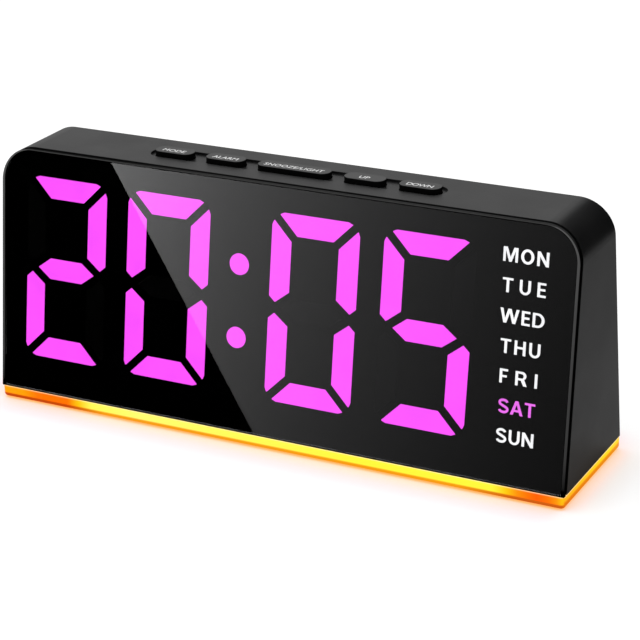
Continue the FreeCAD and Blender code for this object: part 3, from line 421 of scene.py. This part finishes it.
def light_ring_material():
    """Frosted light guide: its colours run along each side, with painted shade deepening them along the lower
    edge and a painted highlight along the top edge.
    """
    mat, tree, shader = new_material("frosted_light_guide")
    where = places(tree)
    axes = axes_of(tree, where)
    lo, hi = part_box("light_ring")
    along = spread(tree, axes["X"], lo.x, hi.x, 0.0, 1.0)
    front = ramp(tree, along, [
        (0.0, RING_GOLD), (0.04, RING_GOLD), (0.07, RING_ORANGE), (0.13, RING_ORANGE), (0.152, RING_AMBER),
        (0.175, RING_LEMON), (0.27, RING_PALE), (0.45, RING_LEMON), (0.65, RING_YELLOW), (0.885, RING_YELLOW),
        (0.908, RING_AMBER), (0.925, RING_DUSK), (0.942, RING_ORANGE), (0.957, RING_EMBER),
        (0.975, RING_ORANGE), (0.988, RING_DUSK), (1.0, RING_AMBER),
    ])
    shaded_low_front = ramp(tree, along, [
        (0.0, LOW_SHADED_RED), (0.13, LOW_SHADED_RED), (0.2, LOW_SHADED_GOLD), (0.83, LOW_SHADED_GOLD), (0.92, LOW_SHADED_COPPER),
        (1.0, LOW_SHADED_COPPER),
    ])
    across = spread(tree, axes["Y"], lo.y, hi.y, 0.0, 1.0)
    side = ramp(tree, across, SIDE_COLOURS)
    shaded_low_side = ramp(tree, across, LOW_SIDE_SHADED_COLOURS)
    at_side = spread(tree, axes["Y"], lo.y + 0.2 * MM, lo.y + 0.8 * MM, 0.0, 1.0)
    # painted shade: the colours deepen towards the lower edge
    low = spread(tree, axes["Z"], lo.z + 1.05 * MM, lo.z + 1.45 * MM, 1.0, 0.0)
    shaded_low_beside = spread(tree, axes["Z"], lo.z + 1.6 * MM, lo.z + 2.3 * MM, 1.0, 0.0)
    # painted highlight: a pale line along the top edge
    painted_highlight = spread(tree, axes["Z"], hi.z - 0.40 * MM, hi.z - 0.15 * MM, 0.0, 0.5)
    front = mix_colour(tree, low, front, shaded_low_front)
    side = mix_colour(tree, shaded_low_beside, side, shaded_low_side)
    cloud = noise(tree, where, 160.0, 2.0)
    put(tree, shader.inputs["Base Color"], RING_BODY)
    body = mix_colour(tree, at_side, front, side)
    put(tree, shader.inputs["Emission Color"], mix_colour(tree, painted_highlight, body, RING_PAINTED_HIGHLIGHT))
    shader.inputs["Emission Strength"].default_value = 1.0
    shader.inputs["Specular IOR Level"].default_value = 0.15
    put(tree, shader.inputs["Roughness"], spread(tree, cloud, 0.3, 0.7, 0.22, 0.34))
    bump(tree, shader, noise(tree, where, 2500.0), 0.01 * MM)
    return mat


# ---------------------------------------------------------------- lettering
def weld(threshold):
    """Merge the doubles of the active mesh and turn its faces outwards."""
    bpy.ops.object.mode_set(mode="EDIT")
    bpy.ops.mesh.select_all(action="SELECT")
    bpy.ops.mesh.remove_doubles(threshold=threshold)
    bpy.ops.mesh.normals_make_consistent(inside=False)
    bpy.ops.object.mode_set(mode="OBJECT")


def legend(name, text, tall, wide):
    """A thin flat word as a mesh in the XY plane, centred on the origin.

    The letters keep their own shape, and the gaps between them give the word its width.
    """
    bpy.ops.object.select_all(action="DESELECT")
    bpy.ops.object.text_add(location=(0, 0, 0))
    word = bpy.context.object
    word.name = name
    shape = word.data
    shape.body = "H"
    bpy.context.view_layer.update()
    shape.size *= tall / word.dimensions.y
    shape.body = text
    shape.offset = LEGEND_BOLD * tall
    shape.extrude = INK / 2
    bpy.context.view_layer.update()
    tight = word.dimensions.x
    shape.space_character = 1.5
    bpy.context.view_layer.update()
    loose = word.dimensions.x
    shape.space_character = 1.0 + 0.5 * (wide - tight) / (loose - tight)
    bpy.context.view_layer.update()
    bpy.ops.object.convert(target="MESH")
    word = bpy.context.object
    word.name = name
    spots = [Vector(corner) for corner in word.bound_box]
    left = min(spot.x for spot in spots)
    right = max(spot.x for spot in spots)
    word.location = (-(left + right) / 2, -tall / 2, INK / 2)
    bpy.ops.object.transform_apply(location=True, rotation=True, scale=True)
    weld(WELD)
    return word


def arc(x, y, wide, tall, start, end, steps=16):
    """Points on an ellipse between two angles in degrees."""
    turns = [math.radians(start + (end - start) * i / steps) for i in range(steps + 1)]
    return [(x + wide * math.cos(turn), y + tall * math.sin(turn)) for turn in turns]


def stroke(middle, thick):
    """Outline of a stroke of even thickness along a line of points."""
    left, right = [], []
    for i, (x, y) in enumerate(middle):
        before, after = middle[max(i - 1, 0)], middle[min(i + 1, len(middle) - 1)]
        dx, dy = after[0] - before[0], after[1] - before[1]
        half = thick / 2 / math.hypot(dx, dy)
        left.append((x - dy * half, y + dx * half))
        right.append((x + dy * half, y - dx * half))
    return left + right[::-1]


def letter_shapes():
    """Bold capitals as (width, closed outlines), all in shares of the letter height."""
    s, b = DAY_STEM, DAY_BAR
    return {
        "I": (s, [[(0, 0), (0, 1), (s, 1), (s, 0)]]),
        "T": (0.76, [[(0, 1), (0.76, 1), (0.76, 1 - b), (0.38 + s / 2, 1 - b), (0.38 + s / 2, 0),
                      (0.38 - s / 2, 0), (0.38 - s / 2, 1 - b), (0, 1 - b)]]),
        "E": (0.61, [[(0, 0), (0, 1), (0.60, 1), (0.60, 1 - b), (s, 1 - b), (s, 0.59), (0.56, 0.59),
                      (0.56, 0.59 - b), (s, 0.59 - b), (s, b), (0.61, b), (0.61, 0)]]),
        "F": (0.60, [[(0, 0), (0, 1), (0.60, 1), (0.60, 1 - b), (s, 1 - b), (s, 0.56), (0.53, 0.56),
                      (0.53, 0.56 - b), (s, 0.56 - b), (s, 0)]]),
        "H": (0.81, [[(0, 0), (0, 1), (s, 1), (s, 0.59), (0.81 - s, 0.59), (0.81 - s, 1), (0.81, 1),
                      (0.81, 0), (0.81 - s, 0), (0.81 - s, 0.59 - b), (s, 0.59 - b), (s, 0)]]),
        "N": (0.84, [[(0, 0), (0, 1), (0.20, 1), (0.65, 0.33), (0.65, 1), (0.84, 1), (0.84, 0), (0.64, 0),
                      (0.19, 0.66), (0.19, 0)]]),
        "M": (1.06, [[(0, 0), (0, 1), (0.29, 1), (0.53, 0.32), (0.77, 1), (1.06, 1), (1.06, 0), (0.88, 0),
                      (0.88, 0.78), (0.62, 0), (0.44, 0), (0.18, 0.78), (0.18, 0)]]),
        "W": (1.38, [[(0, 1), (0.21, 1), (0.365, 0.31), (0.575, 1), (0.805, 1), (1.015, 0.31), (1.17, 1),
                      (1.38, 1), (1.12, 0), (0.91, 0), (0.69, 0.73), (0.47, 0), (0.26, 0)]]),
        "A": (0.93, [[(0, 0), (0.36, 1), (0.57, 1), (0.93, 0), (0.72, 0), (0.645, 0.22), (0.285, 0.22),
                      (0.21, 0)],
                     [(0.34, 0.37), (0.59, 0.37), (0.465, 0.75)]]),
        "U": (0.80, [[(0, 1)] + arc(0.40, 0.37, 0.40, 0.385, 180, 360) + [(0.80, 1), (0.80 - s, 1)]
                     + arc(0.40, 0.37, 0.40 - s, 0.225, 360, 180) + [(s, 1)]]),
        "O": (0.94, [arc(0.47, 0.5, 0.47, 0.515, 0, 352.5, 47), arc(0.47, 0.5, 0.265, 0.345, 0, 352.5, 47)]),
        "D": (0.86, [[(0, 0), (0, 1)] + arc(0.36, 0.5, 0.50, 0.5, 90, -90),
                     [(s, b), (s, 1 - b)] + arc(0.35, 0.5, 0.305, 0.5 - b, 90, -90)]),
        "R": (0.85, [[(0, 0), (0, 1)] + arc(0.50, 0.715, 0.29, 0.285, 90, -60)
                     + [(0.85, 0), (0.61, 0), (0.40, 0.38), (s, 0.38), (s, 0)],
                     [(s, 0.53), (s, 1 - b)] + arc(0.47, 0.6875, 0.125, 0.1575, 90, -90)]),
        "S": (0.78, [stroke(arc(0.385, 0.74, 0.285, 0.19, 12, 230) + arc(0.395, 0.27, 0.30, 0.20, 60, -168),
                            0.175)]),
    }


def day_word(name, text, tall, wide):
    """A day name as a thin flat mesh in the XY plane, centred on the origin."""
    shapes = letter_shapes()
    gap = (wide - sum(shapes[letter][0] for letter in text) * tall) / (len(text) - 1)
    lines = bpy.data.curves.new(name, "CURVE")
    lines.dimensions = "2D"
    lines.fill_mode = "BOTH"
    lines.extrude = INK / 2
    start = -wide / 2
    for letter in text:
        width, outlines = shapes[letter]
        for outline in outlines:
            line = lines.splines.new("POLY")
            line.points.add(len(outline) - 1)
            for point, (x, y) in zip(line.points, outline):
                point.co = (start + x * tall, (y - 0.5) * tall, 0, 1)
            line.use_cyclic_u = True
        start += width * tall + gap
    word = bpy.data.objects.new(name, lines)
    bpy.context.scene.collection.objects.link(word)
    bpy.ops.object.select_all(action="DESELECT")
    word.select_set(True)
    bpy.context.view_layer.objects.active = word
    bpy.ops.object.convert(target="MESH")
    word = bpy.context.object
    word.name = name
    word.location = (0, 0, INK / 2)
    bpy.ops.object.transform_apply(location=True, rotation=True, scale=True)
    weld(WELD / 2)
    return word


def front_span(name):
    """Sideways and upward span of a node on the leaning front: (x0, x1, up0, up1)."""
    points = [v.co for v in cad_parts[name].data.vertices]
    ups = [(p - FRONT_FOOT).dot(UP_FRONT) for p in points]
    xs = [p.x for p in points]
    return min(xs), max(xs), min(ups), max(ups)


def depth_of(name):
    """Depth of the foremost point of a node behind the leaning front."""
    return min(-(v.co - FRONT_FOOT).dot(OUT_FRONT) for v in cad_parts[name].data.vertices)


def make_day_names(white, magenta):
    left, right, low, high = front_span("other_day_bars")
    lit = front_span("lit_day_bar")
    tall = lit[3] - lit[2]
    step = (high - low - tall) / (len(DAY_NAMES) - 1)
    film = depth_of("display_film")
    for row, text in enumerate(DAY_NAMES):
        word = day_word("day_" + text.lower(), text, DAY_TALL, DAY_WIDTHS[row] * MM)
        up = low + tall / 2 + row * step + DAY_LIFT
        middle = FRONT_FOOT + UP_FRONT * up - OUT_FRONT * (film - DAY_PROUD)
        middle.x = (left + right) / 2
        turn = Matrix((Vector((1, 0, 0)), UP_FRONT, OUT_FRONT)).transposed().to_4x4()
        word.data.transform(Matrix.Translation(middle) @ turn)
        word.data.materials.clear()
        word.data.materials.append(magenta if row == DAY_LIT else white)
        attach(word, "root")


def make_legends(ink):
    for button, (text, wide) in LEGENDS.items():
        low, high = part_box(button + "_button")
        word = legend("legend_" + button, text, LEGEND_TALL, wide * MM)
        middle = (low + high) / 2
        middle.y -= LEGEND_AHEAD
        middle.z = high.z - INK + INK_PROUD
        word.data.transform(Matrix.Translation(middle))
        word.data.materials.clear()
        word.data.materials.append(ink)
        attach(word, button + "_button_body")


# ---------------------------------------------------------------- dressing the CAD nodes
def dress(nodes, mat):
    for name in nodes:
        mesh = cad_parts[name].data
        mesh.materials.clear()
        mesh.materials.append(mat)


def grey(level, blue=0.0):
    """A grey, or a slightly blue one."""
    return level, level, level + blue


def dress_case():
    grained = moulded_plastic(
        "grained_case", grey(0.0038, 0.0002), grey(0.0060, 0.0002), 0.36, 2600.0, 0.01 * MM)
    dress(["rear_housing", "battery_door", "base_plate"], grained)
    dress(["front_frame"], frame_painted_light())
    dress([button + "_button" for button in LEGENDS], button_painted_light())
    dress(["front_lens"], smoked_lens())
    dress(["light_ring"], light_ring_material())
    dress(["rubber_feet"],
          moulded_plastic("foot_rubber", grey(0.015), grey(0.022), 0.75, 1400.0, 0.02 * MM, 0.3))


def dress_display():
    dress(["display_film"],
          moulded_plastic("black_film", grey(0.0008), grey(0.0014), 0.6, 1500.0, 0.001 * MM, 0.0))
    dress(["digit_%d_lit_bars" % i for i in range(1, 5)] + ["colon_bars", "lit_day_bar"],
          glowing("lit_magenta", MAGENTA, 1.04 / SEEN_THROUGH, 130.0))
    unlit = moulded_plastic(
        "unlit_bar", (0.003, 0.0025, 0.003), (0.004, 0.0035, 0.004), 0.5, 900.0, 0.005 * MM, 0.1)
    dress(["digit_%d_dark_bars" % i for i in range(1, 5)], unlit)
    white = glowing("lit_white", WHITE, 1.0 / SEEN_THROUGH, 130.0)
    dress(["other_day_bars"], white)
    make_day_names(white, glowing("lit_day", DAY_MAGENTA, 1.0 / SEEN_THROUGH, 260.0))


def dress_inside():
    dress(["light_mask", "switch_bodies", "control_chip", "driver_chips", "power_inlet_core", "buzzer"],
          moulded_plastic("plain_black", grey(0.010), grey(0.016), 0.55, 1800.0, 0.01 * MM))
    dress(["display_board", "button_board", "power_inlet_board", "light_board"],
          moulded_plastic("solder_mask", (0.008, 0.09, 0.03), (0.012, 0.13, 0.05), 0.35, 700.0, 0.01 * MM))
    dress(["display_leds", "light_leds", "light_reflector", "board_sockets"],
          moulded_plastic("white_moulding", (0.75, 0.74, 0.70), (0.85, 0.84, 0.80), 0.45, 1500.0, 0.01 * MM))
    dress([button + "_switch_plunger" for button in LEGENDS],
          moulded_plastic("grey_moulding", grey(0.10), grey(0.13), 0.45, 1500.0, 0.01 * MM))
    dress(["switch_lids", "power_inlet_shell", "coin_cell", "contact_minus", "contact_plus", "clock_crystal"],
          metal("bright_steel", grey(0.60, 0.01), grey(0.72, 0.01), 0.25, (1.0, 0.1, 1.0)))
    dress(["display_board_screws", "button_board_screws", "base_screws", "battery_door_screw"],
          metal("zinc_screw", grey(0.42, 0.02), grey(0.55, 0.02), 0.35, (1.0, 1.0, 1.0)))
    dress(["capacitors"], metal("drawn_can", grey(0.70, 0.01), grey(0.80, 0.01), 0.30, (1.0, 1.0, 0.1)))
    dress(["button_cable", "light_cable", "power_cable", "battery_leads"],
          moulded_plastic("grey_cable", grey(0.25, 0.01), grey(0.32, 0.01), 0.5, 1200.0, 0.01 * MM))


# ---------------------------------------------------------------- stage
def make_floor():
    """A white table. Its own glow is for the camera; near the clock's foot it carries a painted shadow and a
    painted glow of the light ring, and in its sheen a painted shadow and painted light.
    """
    bpy.ops.object.select_all(action="DESELECT")
    bpy.ops.mesh.primitive_plane_add(size=12.0, location=(0, 0, 0))
    floor = bpy.context.object
    floor.name = "floor"
    mat, tree, shader = new_material("pale_floor")
    tree.nodes.remove(shader)
    rays = node(tree, "ShaderNodeLightPath").outputs
    seen = math_node(tree, "MAXIMUM", rays["Is Camera Ray"], rays["Is Transmission Ray"])
    in_gloss = math_node(tree, "MULTIPLY", rays["Is Glossy Ray"], FLOOR_IN_GLOSS)
    seen = math_node(tree, "MAXIMUM", seen, in_gloss)
    body = node(tree, "ShaderNodeBsdfDiffuse")
    nook = node(tree, "ShaderNodeAmbientOcclusion", samples=8)
    nook.inputs["Distance"].default_value = FOOT_SHADOW
    open_share = nook.outputs["AO"]
    x = axes_of(tree, places(tree))["X"]
    # painted light and shade in the floor's sheen: darker where the clock's foot shadow would fall, brighter
    # close beside the case
    painted_lift = spread(tree, math_node(tree, "ABSOLUTE", x), *PAINTED_LIFT_SPAN, FLOOR_PAINTED_LIFT, 1.0)
    dull_with_painted_shade = math_node(tree, "MULTIPLY", spread(tree, open_share, 0.5, 0.85, 0.1, 1.0), FLOOR_DULL)
    dull_with_painted_shade = math_node(tree, "MULTIPLY", dull_with_painted_shade, painted_lift)
    put(tree, body.inputs["Color"], mix_colour(tree, rays["Is Glossy Ray"], (FLOOR_PALE,) * 3, dull_with_painted_shade))
    # painted glow of the light ring and painted foot shadow, by how open the floor is
    before = ramp(tree, open_share, FLOOR_PAINTED_GLOW_BEFORE)
    beside = ramp(tree, open_share, FLOOR_PAINTED_GLOW_BESIDE)
    painted_glow_tint = mix_colour(tree, spread(tree, x, *SIDE_SPAN, 0.0, 1.0), before, beside)
    glow = node(tree, "ShaderNodeEmission")
    put(tree, glow.inputs["Color"], painted_glow_tint)
    put(tree, glow.inputs["Strength"], math_node(tree, "MULTIPLY", seen, FLOOR_GLOW))
    both = node(tree, "ShaderNodeAddShader")
    put(tree, both.inputs[0], body.outputs[0])
    put(tree, both.inputs[1], glow.outputs[0])
    put(tree, tree.nodes["Material Output"].inputs["Surface"], both.outputs[0])
    floor.data.materials.append(mat)


def make_dark_card():
    """A black card behind the clock on the right, seen only in its sheen."""
    bpy.ops.object.select_all(action="DESELECT")
    bpy.ops.mesh.primitive_plane_add(size=1.0, location=(0, 0, 0))
    card = bpy.context.object
    card.name = "dark_card"
    card.scale = (*DARK_CARD_SIZE, 1)
    card.rotation_euler = (math.radians(90), 0, 0)
    card.location = DARK_CARD_PLACE
    bpy.ops.object.transform_apply(location=True, rotation=True, scale=True)
    mat, tree, shader = new_material("black_cloth")
    put(tree, shader.inputs["Base Color"], (0.002, 0.002, 0.002))
    shader.inputs["Specular IOR Level"].default_value = 0.0
    card.data.materials.append(mat)
    card.visible_camera = False
    card.visible_diffuse = False
    card.visible_transmission = False
    card.visible_shadow = False


def make_reflection_card():
    """A gradient card that lies before the clock and shows only in glossy reflections.

    It is bright on the right of a slanting edge and black on the left of it. Its
    brightness follows the spot on the leaning front that mirrors it to the camera.
    """
    (left, near), (right, far) = CARD_NEAR_LEFT, CARD_FAR_RIGHT
    bpy.ops.object.select_all(action="DESELECT")
    bpy.ops.mesh.primitive_plane_add(size=1.0, location=(0, 0, 0))
    card = bpy.context.object
    card.name = "reflection_card"
    place = Matrix.Translation(((left + right) / 2, (near + far) / 2, CARD_LIFT))
    card.data.transform(place @ Matrix.Diagonal((right - left, far - near, 1.0, 1.0)))
    # the camera mirrored in the front face
    eye = Vector(CAMERA_PLACE)
    mirrored = eye - 2 * (eye - FRONT_FOOT).dot(OUT_FRONT) * OUT_FRONT
    mat, tree, shader = new_material("reflection_card")
    tree.nodes.remove(shader)
    axes = axes_of(tree, places(tree))
    # a ground point and the mirrored eye span a line that meets the front face at (x, up)
    away = math_node(tree, "SUBTRACT", mirrored.y, axes["Y"])
    beside = math_node(tree, "SUBTRACT", axes["X"], mirrored.x)
    # share of that line at which it meets the face
    reach = (FRONT_FOOT - mirrored).dot(OUT_FRONT)
    slope = math_node(tree, "MULTIPLY", away, -OUT_FRONT.y)
    slope = math_node(tree, "ADD", slope, -mirrored.z * OUT_FRONT.z)
    share = math_node(tree, "DIVIDE", reach, slope)
    x = math_node(tree, "ADD", math_node(tree, "MULTIPLY", beside, share), mirrored.x)
    z = math_node(tree, "SUBTRACT", mirrored.z, math_node(tree, "MULTIPLY", share, mirrored.z))
    up = math_node(tree, "DIVIDE", math_node(tree, "SUBTRACT", z, CASE_FOOT), math.cos(FRONT_LEAN))
    fade = math_node(tree, "DIVIDE", math_node(tree, "ADD", x, CARD_START), -CARD_FADE)
    rise = math_node(tree, "DIVIDE", math_node(tree, "SUBTRACT", up, CARD_TOP), CARD_RISE)
    bright = math_node(tree, "EXPONENT", math_node(tree, "ADD", fade, rise))
    edge = math_node(tree, "ADD", math_node(tree, "MULTIPLY", up, CARD_SLANT), CARD_FOOT)
    bright = math_node(tree, "MULTIPLY", bright, math_node(tree, "GREATER_THAN", x, edge))
    glow = node(tree, "ShaderNodeEmission")
    put(tree, glow.inputs["Strength"], math_node(tree, "MULTIPLY", bright, CARD_LEVEL))
    put(tree, tree.nodes["Material Output"].inputs["Surface"], glow.outputs[0])
    card.data.materials.append(mat)
    card.visible_camera = False
    card.visible_diffuse = False
    card.visible_shadow = False
    card.visible_volume_scatter = False


def softbox(name, place, aim, size, power):
    """A soft lamp at one place, turned to another."""
    lamp = bpy.data.lights.new(name, "AREA")
    lamp.shape = "RECTANGLE"
    lamp.size, lamp.size_y = size
    lamp.energy = power
    holder = bpy.data.objects.new(name, lamp)
    holder.location = place
    holder.rotation_euler = (Vector(aim) - Vector(place)).to_track_quat("-Z", "Y").to_euler()
    bpy.context.scene.collection.objects.link(holder)


def make_world():
    world = bpy.data.worlds.new("studio")
    bpy.context.scene.world = world
    world.use_nodes = True
    tree = world.node_tree
    back = tree.nodes["Background"]
    rays = node(tree, "ShaderNodeLightPath").outputs
    seen = math_node(tree, "MAXIMUM", rays["Is Camera Ray"], rays["Is Transmission Ray"])
    sheen = spread(tree, rays["Is Glossy Ray"], 0.0, 1.0, WORLD_DIFFUSE, WORLD_IN_GLOSS)
    put(tree, back.inputs["Strength"], math_node(tree, "MAXIMUM", seen, sheen))
    back.inputs["Color"].default_value = (1.0, 1.0, 1.0, 1.0)


def make_camera():
    lens = bpy.data.cameras.new("camera")
    lens.lens = CAMERA_LENS
    lens.sensor_width = 36.0
    lens.clip_start = 0.01
    camera = bpy.data.objects.new("camera", lens)
    camera.location = CAMERA_PLACE
    camera.rotation_euler = [math.radians(a) for a in CAMERA_TURN]
    bpy.context.scene.collection.objects.link(camera)
    bpy.context.scene.camera = camera


make_camera()
make_world()
make_floor()
make_reflection_card()
make_dark_card()
softbox("top_softbox", (-0.35, -0.35, 1.2), (0, 0, 0), (1.2, 1.2), 8.0)
dress_case()
dress_display()
dress_inside()
make_legends(moulded_plastic("printed_ink", grey(0.84), grey(0.94), 0.5, 2500.0, 0.003 * MM))

scene = bpy.context.scene
scene.view_settings.view_transform = "Standard"
